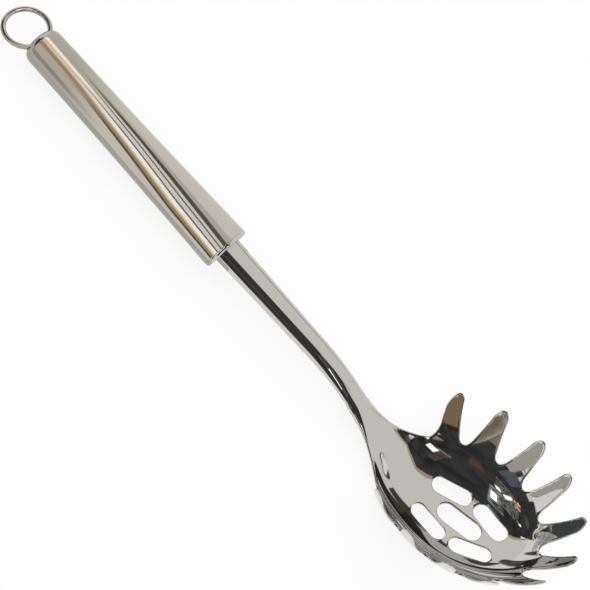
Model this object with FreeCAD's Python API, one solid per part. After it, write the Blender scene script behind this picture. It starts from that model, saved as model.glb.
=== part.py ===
import FreeCAD, Part
import math
import os

from FreeCAD import Matrix, Placement, Rotation, Vector

# Pasta server of stainless steel, lying on a table as it does at rest. X runs from the hanging ring to the
# front tine, Y to the left, Z up. Lengths are in millimetres and angles in degrees.

# Handle shell, a drawn tube that is closed and rounded at its rear end
HANDLE_LENGTH = 124.7
HANDLE_REAR_RADIUS = 9.3
HANDLE_MIDDLE_RADIUS = 10.15
HANDLE_FRONT_RADIUS = 11.65
HANDLE_WALL = 0.7
REAR_SHOULDER_RADIUS = 4.8

# Front cap, a polished disc with a plug that sits in the mouth of the handle
CAP_PROUD = 1.9
CAP_EDGE_RADIUS = 1.3
CAP_SEAM_STEP = 0.15
CAP_PLUG_LENGTH = 3.0
CAP_PLUG_CLEARANCE = 0.05

# Stem, an oval bar that tapers forwards, then bends down and flattens into the neck
STEM_REAR_WIDTH = 14.5
STEM_REAR_THICKNESS = 10.4
STEM_BEND_WIDTH = 11.8
STEM_BEND_THICKNESS = 8.6
NECK_WIDTH = 11.4
NECK_THICKNESS = 4.2
TANG_LENGTH = 20.0
TANG_CLEARANCE = 0.05
STEM_BEND_STEPS = 4

# Where the handle lies over the bowl, in the frame of the bowl
HANDLE_ANGLE = 18.8
HANDLE_AXIS_HEIGHT = 10.0
SEAM_TO_BOWL_CENTRE = 161.0

# Bowl, a pressed sheet: an oval dish with tines round it and a neck behind
SHEET = 1.2
BOWL_DEPTH = 34.6
BOWL_FLOOR_SHARE = 0.13
DISH_HALF_LENGTH = 53.6
DISH_HALF_WIDTH = 42.1
TIP_HALF_LENGTH = 54.0
TIP_HALF_WIDTH = 42.5
ROOT_HALF_LENGTH = 40.2
ROOT_HALF_WIDTH = 31.3
REAR_HALF_LENGTH = 56.0
REAR_SIDE_LIFT = 1.6
NECK_SLOPE = 36.0
NECK_JOINT_REACH = 66.0
NECK_STRAIGHT = 16.0
FLARE_ANGLE = 36.0
FLARE_STRAIGHT = 12.0
FLARE_ROOT_ANGLE = 138.5
FLARE_ROOT_RADIUS = 5.0
FLARE_ROOT_OUT = 1.2

# Tines, by their angle round the bowl on the left side, the front one first
TINE_ANGLES = (0.0, 26.9, 53.7, 76.4, 100.7, 126.6)
TINE_TIP_WIDTH = 6.6
TINE_TIP_ROUND = 1.7
NOTCH_RADIUS = 3.6

# Drain slots: one in the middle, a rear pair that spreads forwards and a front pair that closes forwards
MIDDLE_SLOT_LENGTH = 23.5
MIDDLE_SLOT_WIDTH = 9.8
MIDDLE_SLOT_X = 3.3
SIDE_SLOT_LENGTH = 20.3
SIDE_SLOT_WIDTH = 8.2
REAR_SLOT_X = -7.9
REAR_SLOT_Y = 10.5
REAR_SLOT_ANGLE = 12.0
FRONT_SLOT_X = 14.8
FRONT_SLOT_Y = 9.2
FRONT_SLOT_ANGLE = -19.0

# Hanging ring, a wire ring with a butt seam that swings in two holes in the rear shoulder. The handle is
# welded on with these holes rolled a little about its axis, left side up, and they lie a little to the left.
RING_OUTER_DIAMETER = 23.2
RING_WIRE = 2.4
RING_SEAM_GAP = 0.2
RING_SEAM_ANGLE = 109.0
RING_DROOP_ANGLE = 12.0
RING_ROLL_ANGLE = 8.0
RING_SIDE_SHIFT = 1.0
RING_SWING_ANGLE = 55.0
RING_WALL_GAP = 0.5
RING_AXIS_GAP = 0.8
RING_HOLE_CLEARANCE = 0.3
RING_HOLE_START_ANGLE = 8.0
RING_HOLE_END_ANGLE = 60.0
RING_HOLE_STEPS = 6

# Fineness of the bowl's surface and room round it for the cuts
SURFACE_ROWS = 34
SURFACE_COLUMNS = 25
SURFACE_MARGIN = 5.0
CUT_ROOM = 30.0

# Reach of the searches and the step that slopes are measured over
FULL_TURN = 360
SHARE_LIMIT = 2.0
PITCH_ROOM = 10.0
SLOPE_STEP = 0.01
HALVINGS = 60

# Values worked out from the sizes above
RING_RADIUS = (RING_OUTER_DIAMETER - RING_WIRE) / 2
RING_AXIS_X = HANDLE_WALL + RING_AXIS_GAP
RING_CENTRE_X = HANDLE_WALL + RING_WALL_GAP + RING_WIRE - RING_OUTER_DIAMETER / 2
TAN_NECK = math.tan(math.radians(NECK_SLOPE))
X_AXIS = Vector(1, 0, 0)
Y_AXIS = Vector(0, 1, 0)
Z_AXIS = Vector(0, 0, 1)
ORIGIN = Vector(0, 0, 0)


def solve(function, low, high):
    """Find where a rising function passes zero, by halving."""
    for _ in range(HALVINGS):
        middle = (low + high) / 2
        if function(middle) < 0:
            low = middle
        else:
            high = middle
    return (low + high) / 2


def turned(x, z, angle):
    """Direction (x, z) of the middle plane, turned about Y by an angle in degrees."""
    return Rotation(Y_AXIS, angle).multVec(Vector(x, 0, z))


# Height of the bowl's inner face

def dish(share):
    """Height at a share of the way from the middle to the tips."""
    return BOWL_DEPTH * (BOWL_FLOOR_SHARE * share**2 + (1 - BOWL_FLOOR_SHARE) * share**4)


def dish_slope(share):
    """Rise of dish for each unit of its share."""
    return BOWL_DEPTH * (2 * BOWL_FLOOR_SHARE * share + 4 * (1 - BOWL_FLOOR_SHARE) * share**3)


NECK_START_SHARE = solve(lambda share: dish_slope(share) / REAR_HALF_LENGTH - TAN_NECK, 0, SHARE_LIMIT)
NECK_START_X = -NECK_START_SHARE * REAR_HALF_LENGTH


def spine(x):
    """Height along the middle of the rear half, which runs straight up the neck."""
    if x > NECK_START_X:
        return dish(-x / REAR_HALF_LENGTH)
    return dish(NECK_START_SHARE) + (NECK_START_X - x) * TAN_NECK


def bowl_height(x, y):
    """Height of the inner face over a point of the plan."""
    across = abs(y) / DISH_HALF_WIDTH
    if x >= 0:
        return dish(math.hypot(x / DISH_HALF_LENGTH, across))
    return spine(x) + dish(across) * (1 + REAR_SIDE_LIFT * (x / DISH_HALF_WIDTH) ** 2)


def bowl_normal(x, y):
    """Upward normal of the inner face."""
    step = SLOPE_STEP
    rise_x = (bowl_height(x + step, y) - bowl_height(x - step, y)) / (2 * step)
    rise_y = (bowl_height(x, y + step) - bowl_height(x, y - step)) / (2 * step)
    return Vector(-rise_x, -rise_y, 1).normalize()


# Plan of the bowl

def on_oval(half_length, half_width, angle):
    """Point of an oval round the bowl's centre."""
    turn = math.radians(angle)
    return Vector(half_length * math.cos(turn), half_width * math.sin(turn), 0)


def root_and_outward(angle):
    """Point on the oval of the tine roots, and the way out from there to the oval of the tips."""
    root = on_oval(ROOT_HALF_LENGTH, ROOT_HALF_WIDTH, angle)
    tip = on_oval(TIP_HALF_LENGTH, TIP_HALF_WIDTH, angle)
    return root, (tip - root).normalize()


def notch_circle(angle, radius, out=0.0):
    """Bottom and centre of the round notch at an angle, moved out from the oval of the roots."""
    root, outward = root_and_outward(angle)
    bottom = root + outward * out
    return bottom, bottom + outward * radius


def tine_tip(angle):
    """Two corners and the point of a tine's round tip, the corner nearer the front first."""
    _, outward = root_and_outward(angle)
    point = on_oval(TIP_HALF_LENGTH, TIP_HALF_WIDTH, angle)
    sideways = Vector(-outward.y, outward.x, 0) * (TINE_TIP_WIDTH / 2)
    middle = point - outward * TINE_TIP_ROUND
    return middle - sideways, point, middle + sideways


def touch(point, centre, radius, side):
    """Where a line from a point touches a circle, on one side of it."""
    reach = point - centre
    turn = math.acos(radius / reach.Length) * side
    angle = math.atan2(reach.y, reach.x) + turn
    return centre + Vector(math.cos(angle), math.sin(angle), 0) * radius


def line(start, end):
    return Part.LineSegment(start, end).toShape()


def arc(start, middle, end):
    return Part.Arc(start, middle, end).toShape()


def neck_edge(start_x, end):
    """Edge of the neck from its straight part to the flare."""
    start = Vector(start_x, NECK_WIDTH / 2, 0)
    flare = math.radians(FLARE_ANGLE)
    pull = Vector(math.cos(flare), math.sin(flare), 0) * FLARE_STRAIGHT
    curve = Part.BezierCurve()
    curve.setPoles([start, start + X_AXIS * NECK_STRAIGHT, end - pull, end])
    return curve.toShape()


def left_outline(neck_end_x):
    """Edges of the bowl's left side, from the end of the neck to the front tine."""
    root, centre = notch_circle(FLARE_ROOT_ANGLE, FLARE_ROOT_RADIUS, FLARE_ROOT_OUT)
    flare = math.radians(FLARE_ANGLE)
    flare_end = centre + Vector(math.sin(flare), -math.cos(flare), 0) * FLARE_ROOT_RADIUS
    neck_start_x = -NECK_JOINT_REACH
    edges = [line(Vector(neck_end_x, NECK_WIDTH / 2, 0), Vector(neck_start_x, NECK_WIDTH / 2, 0))]
    edges.append(neck_edge(neck_start_x, flare_end))
    radius = FLARE_ROOT_RADIUS
    into_notch = flare_end
    for index in range(len(TINE_ANGLES) - 1, -1, -1):
        front_corner, point, rear_corner = tine_tip(TINE_ANGLES[index])
        out_of_notch = touch(rear_corner, centre, radius, -1)
        edges.append(arc(into_notch, root, out_of_notch))
        edges.append(line(out_of_notch, rear_corner))
        if index == 0:
            break
        edges.append(arc(rear_corner, point, front_corner))
        radius = NOTCH_RADIUS
        root, centre = notch_circle((TINE_ANGLES[index] + TINE_ANGLES[index - 1]) / 2, radius)
        into_notch = touch(front_corner, centre, radius, 1)
        edges.append(line(front_corner, into_notch))
    return edges


def slot_wire(x, y, length, width, turn):
    """Round-ended slot in plan."""
    along = Rotation(Z_AXIS, turn).multVec(X_AXIS)
    side = Rotation(Z_AXIS, turn).multVec(Y_AXIS) * (width / 2)
    centre = Vector(x, y, 0)
    front = centre + along * (length - width) / 2
    rear = centre - along * (length - width) / 2
    edges = [
        line(rear + side, front + side),
        arc(front + side, front + along * (width / 2), front - side),
        line(front - side, rear - side),
        arc(rear - side, rear - along * (width / 2), rear + side),
    ]
    return Part.Wire(edges)


def plan_face(neck_end_x):
    """Plan of the flat-laid bowl, with its slots left open."""
    left = left_outline(neck_end_x)
    right = [edge.mirror(ORIGIN, Y_AXIS) for edge in left]
    front_corner, point, rear_corner = tine_tip(TINE_ANGLES[0])
    front_tip = arc(rear_corner, point, front_corner)
    half_neck = Vector(0, NECK_WIDTH / 2, 0)
    neck_end = line(Vector(neck_end_x, 0, 0) + half_neck, Vector(neck_end_x, 0, 0) - half_neck)
    outline = Part.Face(Part.Wire(Part.__sortEdges__(left + right + [front_tip, neck_end])))
    slots = [slot_wire(MIDDLE_SLOT_X, 0, MIDDLE_SLOT_LENGTH, MIDDLE_SLOT_WIDTH, 0)]
    for side in (1, -1):
        for x, y, turn in (
            (REAR_SLOT_X, REAR_SLOT_Y, REAR_SLOT_ANGLE),
            (FRONT_SLOT_X, FRONT_SLOT_Y, FRONT_SLOT_ANGLE),
        ):
            slots.append(slot_wire(x, side * y, SIDE_SLOT_LENGTH, SIDE_SLOT_WIDTH, side * turn))
    return outline.cut([Part.Face(wire) for wire in slots])


# Bowl

def surface_half_width(x):
    """Half the width of the bowl's surface, which narrows over the neck."""
    full = TIP_HALF_WIDTH + SURFACE_MARGIN
    narrow = NECK_WIDTH / 2 + SURFACE_MARGIN
    share = min(1.0, max(0.0, (NECK_JOINT_REACH + x) / (NECK_JOINT_REACH - TIP_HALF_WIDTH)))
    return narrow + (full - narrow) * share * share * (3 - 2 * share)


def bowl_surface(first_x, last_x, depth):
    """Face at a depth below the inner face, along its normals."""
    rows = []
    for row in range(SURFACE_ROWS):
        x = first_x + (last_x - first_x) * row / (SURFACE_ROWS - 1)
        half_width = surface_half_width(x)
        points = []
        for column in range(SURFACE_COLUMNS):
            y = half_width * (2 * column / (SURFACE_COLUMNS - 1) - 1)
            points.append(Vector(x, y, bowl_height(x, y)) - bowl_normal(x, y) * depth)
        rows.append(points)
    surface = Part.BSplineSurface()
    surface.interpolate(rows)
    return surface.toShape()


def neck_joint():
    """Middle of the weld between the neck and the stem, and the way up the neck from there."""
    top = Vector(-NECK_JOINT_REACH, 0, spine(-NECK_JOINT_REACH))
    up_neck = turned(-1, 0, NECK_SLOPE)
    return top - bowl_normal(top.x, 0) * (SHEET / 2), up_neck


def build_bowl():
    """Sheet bowl with its tines, slots and neck."""
    neck_end_x = -NECK_JOINT_REACH - SURFACE_MARGIN
    first_x = neck_end_x - SURFACE_MARGIN
    last_x = TIP_HALF_LENGTH + SURFACE_MARGIN
    full_height = Z_AXIS * (BOWL_DEPTH + NECK_JOINT_REACH + 2 * CUT_ROOM)
    prism = plan_face(neck_end_x)
    prism.translate(Z_AXIS * -CUT_ROOM)
    prism = prism.extrude(full_height)
    below_inner = bowl_surface(first_x, last_x, 0).extrude(-full_height)
    below_outer = bowl_surface(first_x, last_x, SHEET).extrude(-full_height)
    sheet = prism.common(below_inner).cut(below_outer)
    joint, up_neck = neck_joint()
    beyond = Part.makeBox(CUT_ROOM, CUT_ROOM, CUT_ROOM, Vector(0, -CUT_ROOM / 2, -CUT_ROOM / 2))
    beyond.Placement = Placement(joint, Rotation(X_AXIS, up_neck))
    return sheet.cut(beyond)


# Handle, cap and ring, along an axis X from the rear end face of the handle

def flank_radius(x, inset):
    """Radius of the handle's flank, less an inset, from its rear, middle and front radii."""
    share = (x - REAR_SHOULDER_RADIUS) / (HANDLE_LENGTH - REAR_SHOULDER_RADIUS)
    bend = 2 * (HANDLE_REAR_RADIUS + HANDLE_FRONT_RADIUS - 2 * HANDLE_MIDDLE_RADIUS)
    straight = HANDLE_FRONT_RADIUS - HANDLE_REAR_RADIUS - bend
    return HANDLE_REAR_RADIUS + straight * share + bend * share**2 - inset


def handle_body(inset):
    """Solid of the handle's outside, or of its hollow at an inset."""
    flat = HANDLE_REAR_RADIUS - REAR_SHOULDER_RADIUS
    round_radius = REAR_SHOULDER_RADIUS - inset
    slant = round_radius * math.sqrt(0.5)
    corner = Vector(REAR_SHOULDER_RADIUS, flat, 0)
    rear = Vector(inset, flat, 0)
    shoulder = Vector(REAR_SHOULDER_RADIUS, HANDLE_REAR_RADIUS - inset, 0)
    middle_x = (REAR_SHOULDER_RADIUS + HANDLE_LENGTH) / 2
    front = Vector(HANDLE_LENGTH, HANDLE_FRONT_RADIUS - inset, 0)
    pull = 2 * flank_radius(middle_x, inset) - (shoulder.y + front.y) / 2
    flank = Part.BezierCurve()
    flank.setPoles([shoulder, Vector(middle_x, pull, 0), front])
    wire = Part.Wire([
        line(Vector(inset, 0, 0), rear),
        arc(rear, corner + Vector(-slant, slant, 0), shoulder),
        flank.toShape(),
        line(front, Vector(HANDLE_LENGTH, 0, 0)),
        line(Vector(HANDLE_LENGTH, 0, 0), Vector(inset, 0, 0)),
    ])
    return Part.Face(wire).revolve(ORIGIN, X_AXIS, FULL_TURN)


def ring_arc(wire_radius, start, sweep):
    """Stretch of the ring's wire, from an angle off the handle's axis, in line with the handle."""
    section = Part.Face(Part.Wire(Part.makeCircle(wire_radius, X_AXIS * RING_RADIUS, Y_AXIS)))
    stretch = section.revolve(ORIGIN, Z_AXIS, sweep)
    stretch.rotate(ORIGIN, Z_AXIS, start)
    stretch.translate(Vector(RING_CENTRE_X, RING_SIDE_SHIFT, 0))
    return stretch


def swung(shape, angle):
    """Ring piece swung up by an angle about its axis in the handle."""
    copy = shape.copy()
    copy.rotate(X_AXIS * RING_AXIS_X, Y_AXIS, angle)
    return copy


def build_handle_shell():
    """Hollow handle with the two holes that the ring swings in."""
    shell = handle_body(0).cut(handle_body(HANDLE_WALL))
    wire_radius = RING_WIRE / 2 + RING_HOLE_CLEARANCE
    left = ring_arc(wire_radius, RING_HOLE_START_ANGLE, RING_HOLE_END_ANGLE - RING_HOLE_START_ANGLE)
    right = left.mirror(Y_AXIS * RING_SIDE_SHIFT, Y_AXIS)
    for step in range(RING_HOLE_STEPS + 1):
        angle = RING_SWING_ANGLE * (2 * step / RING_HOLE_STEPS - 1)
        shell = shell.cut(swung(left, angle)).cut(swung(right, angle))
    return shell


def build_hanging_ring():
    """Wire ring with its butt seam, drooping from its holes."""
    gap = math.degrees(RING_SEAM_GAP / RING_RADIUS)
    ring = ring_arc(RING_WIRE / 2, RING_SEAM_ANGLE + gap / 2, FULL_TURN - gap)
    return swung(ring, -RING_DROOP_ANGLE)


def oval_wire(centre, up, width, thickness):
    """Oval section of the stem, across Y and an upward direction in the middle plane."""
    along = Y_AXIS.cross(up)
    matrix = Matrix(
        0, up.x * thickness / 2, along.x, centre.x,
        width / 2, up.y * thickness / 2, along.y, centre.y,
        0, up.z * thickness / 2, along.z, centre.z,
        0, 0, 0, 1,
    )
    return Part.Wire(Part.makeCircle(1).transformGeometry(matrix).Edges)


def build_front_cap():
    """Disc with a rounded edge, a plug behind it and the oval hole for the stem."""
    seam = HANDLE_LENGTH
    plug_start = seam - CAP_PLUG_LENGTH
    plug_radius = flank_radius(plug_start, HANDLE_WALL) - CAP_PLUG_CLEARANCE
    rim_radius = HANDLE_FRONT_RADIUS - CAP_SEAM_STEP
    face = seam + CAP_PROUD
    edge = CAP_EDGE_RADIUS
    slant = edge * math.sqrt(0.5)
    corner = Vector(face - edge, rim_radius - edge, 0)
    wire = Part.Wire([
        line(Vector(plug_start, 0, 0), Vector(plug_start, plug_radius, 0)),
        line(Vector(plug_start, plug_radius, 0), Vector(seam, plug_radius, 0)),
        line(Vector(seam, plug_radius, 0), Vector(seam, rim_radius, 0)),
        line(Vector(seam, rim_radius, 0), Vector(face - edge, rim_radius, 0)),
        arc(corner + Y_AXIS * edge, corner + Vector(slant, slant, 0), corner + X_AXIS * edge),
        line(corner + X_AXIS * edge, Vector(face, 0, 0)),
        line(Vector(face, 0, 0), Vector(plug_start, 0, 0)),
    ])
    disc = Part.Face(wire).revolve(ORIGIN, X_AXIS, FULL_TURN)
    past_disc = CAP_PROUD
    hole = oval_wire(
        Vector(plug_start - past_disc, 0, 0),
        Z_AXIS,
        STEM_REAR_WIDTH + 2 * TANG_CLEARANCE,
        STEM_REAR_THICKNESS + 2 * TANG_CLEARANCE,
    )
    hole_depth = CAP_PLUG_LENGTH + CAP_PROUD + 2 * past_disc
    return disc.cut(Part.Face(hole).extrude(X_AXIS * hole_depth))


# Stem, in the frame of the bowl

def axis_point(reach):
    """Point of the handle's axis at a distance behind the bowl's centre."""
    return Vector(0, 0, HANDLE_AXIS_HEIGHT) + turned(-1, 0, HANDLE_ANGLE) * reach


def build_stem():
    """Oval bar from the tang in the handle to the weld at the neck."""
    joint, up_neck = neck_joint()
    back = turned(-1, 0, HANDLE_ANGLE)
    up = turned(0, 1, HANDLE_ANGLE)
    off_axis = (axis_point(0) - joint).dot(up)
    bend_leg = off_axis / up_neck.dot(up)
    corner = joint + up_neck * bend_leg
    bend_start = corner + back * bend_leg
    turn = NECK_SLOPE - HANDLE_ANGLE
    bend_radius = bend_leg / math.tan(math.radians(turn / 2))
    bend_centre = bend_start - up * bend_radius
    tang_end = axis_point(SEAM_TO_BOWL_CENTRE + TANG_LENGTH)
    taper_start = axis_point(SEAM_TO_BOWL_CENTRE - CAP_PROUD - CAP_EDGE_RADIUS)
    tang_face = Part.Face(oval_wire(tang_end, up, STEM_REAR_WIDTH, STEM_REAR_THICKNESS))
    tang = tang_face.extrude(taper_start - tang_end)
    taper = Part.makeLoft([
        oval_wire(taper_start, up, STEM_REAR_WIDTH, STEM_REAR_THICKNESS),
        oval_wire(bend_start, up, STEM_BEND_WIDTH, STEM_BEND_THICKNESS),
    ], True, True)
    bend_wires = []
    for step in range(STEM_BEND_STEPS + 1):
        share = step / STEM_BEND_STEPS
        ease = share * share * (3 - 2 * share)
        outward = turned(0, 1, HANDLE_ANGLE + turn * share)
        width = STEM_BEND_WIDTH + (NECK_WIDTH - STEM_BEND_WIDTH) * ease
        thickness = STEM_BEND_THICKNESS + (NECK_THICKNESS - STEM_BEND_THICKNESS) * ease
        bend_wires.append(oval_wire(bend_centre + outward * bend_radius, outward, width, thickness))
    bend = Part.makeLoft(bend_wires, True, False)
    return tang.fuse([taper, bend])


# Assembly, laid on the table

def rest_pitch():
    """Angle by which the bowl's front is raised when the bowl and the handle's rear end both touch."""
    shoulder = axis_point(SEAM_TO_BOWL_CENTRE + HANDLE_LENGTH - REAR_SHOULDER_RADIUS)
    shoulder_ring = HANDLE_REAR_RADIUS - REAR_SHOULDER_RADIUS

    def lower_handle(pitch):
        """How much lower the handle lies than the bowl at a pitch."""
        down = turned(0, -1, pitch)
        tilt = math.cos(math.radians(pitch - HANDLE_ANGLE))
        handle_low = shoulder.dot(down) + shoulder_ring * tilt + REAR_SHOULDER_RADIUS
        slope = math.tan(math.radians(pitch))
        share = solve(lambda share: dish_slope(share) / REAR_HALF_LENGTH - slope, 0, SHARE_LIMIT)
        bowl_low = Vector(-share * REAR_HALF_LENGTH, 0, dish(share)).dot(down) + SHEET
        return handle_low - bowl_low

    return solve(lower_handle, HANDLE_ANGLE - PITCH_ROOM, min(NECK_SLOPE, HANDLE_ANGLE + PITCH_ROOM))


def main():
    """Build the pieces, lay them on the table and write them."""
    rear_end = axis_point(SEAM_TO_BOWL_CENTRE + HANDLE_LENGTH)
    in_bowl_frame = Placement(rear_end, Rotation(Y_AXIS, HANDLE_ANGLE))
    rolled = in_bowl_frame.multiply(Placement(ORIGIN, Rotation(X_AXIS, RING_ROLL_ANGLE)))
    pitch = rest_pitch()
    lying = Placement(ORIGIN, Rotation(Y_AXIS, -pitch))
    pieces = {
        "handle_shell": (build_handle_shell(), rolled),
        "front_cap": (build_front_cap(), in_bowl_frame),
        "hanging_ring": (build_hanging_ring(), rolled),
        "stem": (build_stem(), Placement()),
        "bowl": (build_bowl(), Placement()),
    }
    laid = {}
    for name, (shape, place) in pieces.items():
        laid[name] = shape.transformed(lying.multiply(place).toMatrix(), True)
    box = Part.makeCompound(list(laid.values())).optimalBoundingBox(False)
    shift = Vector(-(box.XMin + box.XMax) / 2, -(box.YMin + box.YMax) / 2, -box.ZMin)
    os.makedirs("parts", exist_ok=True)
    for name, shape in laid.items():
        shape.translate(shift)
        solid = shape.Solids[0]
        solid.exportStep("parts/" + name + ".step")
        print(name, "solids", len(shape.Solids), "valid", solid.isValid(), "volume", round(solid.Volume, 1))
    to_table = Placement(shift, Rotation()).multiply(lying)
    hinge = to_table.multiply(rolled).multVec(X_AXIS * RING_AXIS_X)
    hinge_axis = to_table.multiply(rolled).Rotation.multVec(Y_AXIS)
    print("box", [round(value, 3) for value in (box.XLength, box.YLength, box.ZLength)])
    print("pitch", round(pitch, 4), "shift", [round(value, 4) for value in shift])
    print("ring axis", [round(value, 4) for value in hinge], [round(value, 6) for value in hinge_axis])


main()
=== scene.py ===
"""Looks of a stainless steel pasta server: polished bowl and stem, satin handle, swinging wire ring."""

import logging
import math
from dataclasses import dataclass, field
from enum import Enum
from typing import Any, Callable, Iterable, Mapping, Sequence

import bmesh
import bpy
import numpy as np
from mathutils import Matrix, Vector, kdtree
from mathutils.geometry import delaunay_2d_cdt


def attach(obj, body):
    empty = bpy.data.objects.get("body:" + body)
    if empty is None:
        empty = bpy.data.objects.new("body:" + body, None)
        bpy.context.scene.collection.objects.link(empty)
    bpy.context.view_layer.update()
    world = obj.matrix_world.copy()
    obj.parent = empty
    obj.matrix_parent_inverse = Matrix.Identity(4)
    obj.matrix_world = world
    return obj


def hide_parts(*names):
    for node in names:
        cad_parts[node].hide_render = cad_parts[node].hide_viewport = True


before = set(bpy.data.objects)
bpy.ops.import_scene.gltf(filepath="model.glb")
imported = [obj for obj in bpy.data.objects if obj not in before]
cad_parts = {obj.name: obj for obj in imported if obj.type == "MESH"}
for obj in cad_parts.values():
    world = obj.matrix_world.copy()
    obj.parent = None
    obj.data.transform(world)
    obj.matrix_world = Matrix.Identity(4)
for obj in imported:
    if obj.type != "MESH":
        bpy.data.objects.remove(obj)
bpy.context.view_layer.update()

LOG = logging.getLogger("pasta_server")
MM = 0.001
SERVER = "server"
RING = "ring"
BRUSHED_MAP = "brushed"
HALVINGS = 60
Colour = tuple[float, float, float]
Inputs = Mapping[str | int, object]


class Slot(Enum):
    """Material slots of the record."""

    POLISHED = "polished_steel"
    SATIN = "satin_steel"


@dataclass(frozen=True)
class TableLay:
    """How the server lies: millimetres in the frame of each piece become metres on the table."""

    pitch: float = 20.4854
    shift: tuple[float, float, float] = (134.447, 0.0001, 8.1923)
    handle_angle: float = 18.8
    axis_height: float = 10.0
    seam_reach: float = 161.0
    handle_length: float = 124.7
    ring_roll: float = 8.0

    def bowl(self) -> Matrix:
        """Frame of the bowl, with its origin at the bottom of the dish."""
        turn = Matrix.Rotation(math.radians(-self.pitch), 4, "Y")
        return Matrix.Scale(MM, 4) @ Matrix.Translation(self.shift) @ turn

    def axis_point(self, reach: float) -> Vector:
        """Point of the handle's axis in the frame of the bowl.

        Args:
            reach: Distance behind the middle of the bowl, along the axis.

        Returns:
            The point, in millimetres.
        """
        turn = math.radians(self.handle_angle)
        return Vector((-math.cos(turn) * reach, 0.0, self.axis_height + math.sin(turn) * reach))

    def handle(self) -> Matrix:
        """Frame of the handle, with X along its axis from the rear end face.

        Returns:
            The frame.
        """
        turn = Matrix.Rotation(math.radians(self.handle_angle), 4, "Y")
        rear_end = self.axis_point(self.seam_reach + self.handle_length)
        return self.bowl() @ Matrix.Translation(rear_end) @ turn

    def rolled_handle(self) -> Matrix:
        """Frame of the handle, rolled as the ring's holes are."""
        return self.handle() @ Matrix.Rotation(math.radians(self.ring_roll), 4, "X")


LAY = TableLay()


def smooth_step(share: float) -> float:
    """Share from 0 to 1, eased at both ends and held beyond them."""
    held = min(1.0, max(0.0, share))
    return held * held * (3.0 - 2.0 * held)


def lerp(start: float, end: float, share: float) -> float:
    """Value at a share of the way from start to end."""
    return start + (end - start) * share


def solve(function: Callable[[float], float], low: float, high: float) -> float:
    """Find where a rising function passes zero, by halving.

    Args:
        function: The function of one number.
        low: Where it is below zero.
        high: Where it is above zero.

    Returns:
        The number at which it passes zero.
    """
    for _ in range(HALVINGS):
        middle = (low + high) / 2
        if function(middle) < 0:
            low = middle
        else:
            high = middle
    return (low + high) / 2


def bezier_point(poles: Sequence[Vector], share: float) -> Vector:
    """Point of a cubic curve at a share of its way.

    Args:
        poles: Its four poles.
        share: From 0 at the first pole to 1 at the last.

    Returns:
        The point.
    """
    rest = 1.0 - share
    point = poles[0] * rest**3 + poles[1] * (3 * rest * rest * share)
    return point + poles[2] * (3 * rest * share * share) + poles[3] * share**3


def quarter_turn(steps: int) -> list[tuple[float, float]]:
    """Sine and cosine at even steps through a right angle, with both its ends."""
    turns = [math.pi / 2 * step / steps for step in range(steps + 1)]
    return [(math.sin(turn), math.cos(turn)) for turn in turns]


class PlanCurve:
    """Closely spaced points along a plan curve, in millimetres."""

    def __init__(self, step: float) -> None:
        """Start with no points, at a spacing."""
        self.step = step
        self.points: list[Vector] = []

    def line(self, start: Vector, end: Vector) -> None:
        """Add a straight stretch, without its end point.

        Args:
            start: First point.
            end: Point at which it ends.
        """
        count = max(1, math.ceil((end - start).length / self.step))
        for index in range(count):
            self.points.append(start.lerp(end, index / count))

    def arc(self, start: Vector, middle: Vector, end: Vector) -> None:
        """Add the arc through three points, without its end point.

        Args:
            start: First point.
            middle: Point that it passes.
            end: Point at which it ends.
        """
        a, b, c = start, middle, end
        twice = 2 * (a.x * (b.y - c.y) + b.x * (c.y - a.y) + c.x * (a.y - b.y))
        aa, bb, cc = a.length_squared, b.length_squared, c.length_squared
        centre = Vector((
            (aa * (b.y - c.y) + bb * (c.y - a.y) + cc * (a.y - b.y)) / twice,
            (aa * (c.x - b.x) + bb * (a.x - c.x) + cc * (b.x - a.x)) / twice,
        ))
        first = a - centre
        to_middle = first.angle_signed(b - centre)
        to_end = first.angle_signed(c - centre)
        if to_middle * to_end < 0 or abs(to_end) < abs(to_middle):
            to_end -= math.copysign(2 * math.pi, to_end)
        count = max(2, math.ceil(abs(to_end) * first.length / self.step))
        for index in range(count):
            turn = Matrix.Rotation(-to_end * index / count, 2)
            self.points.append(centre + turn @ first)

    def bezier(self, poles: Sequence[Vector]) -> None:
        """Add a cubic curve by its four poles, without its end point.

        Args:
            poles: The poles, from the first point to the end.
        """
        count = math.ceil((poles[3] - poles[0]).length / self.step)
        for index in range(count):
            self.points.append(bezier_point(poles, index / count))


@dataclass(frozen=True)
class RimPoint:
    """Place on the inner face's edge, with the way out over the rim and the way up from the sheet."""

    base: Vector
    outward: Vector
    upward: Vector
    thickness: float


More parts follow.
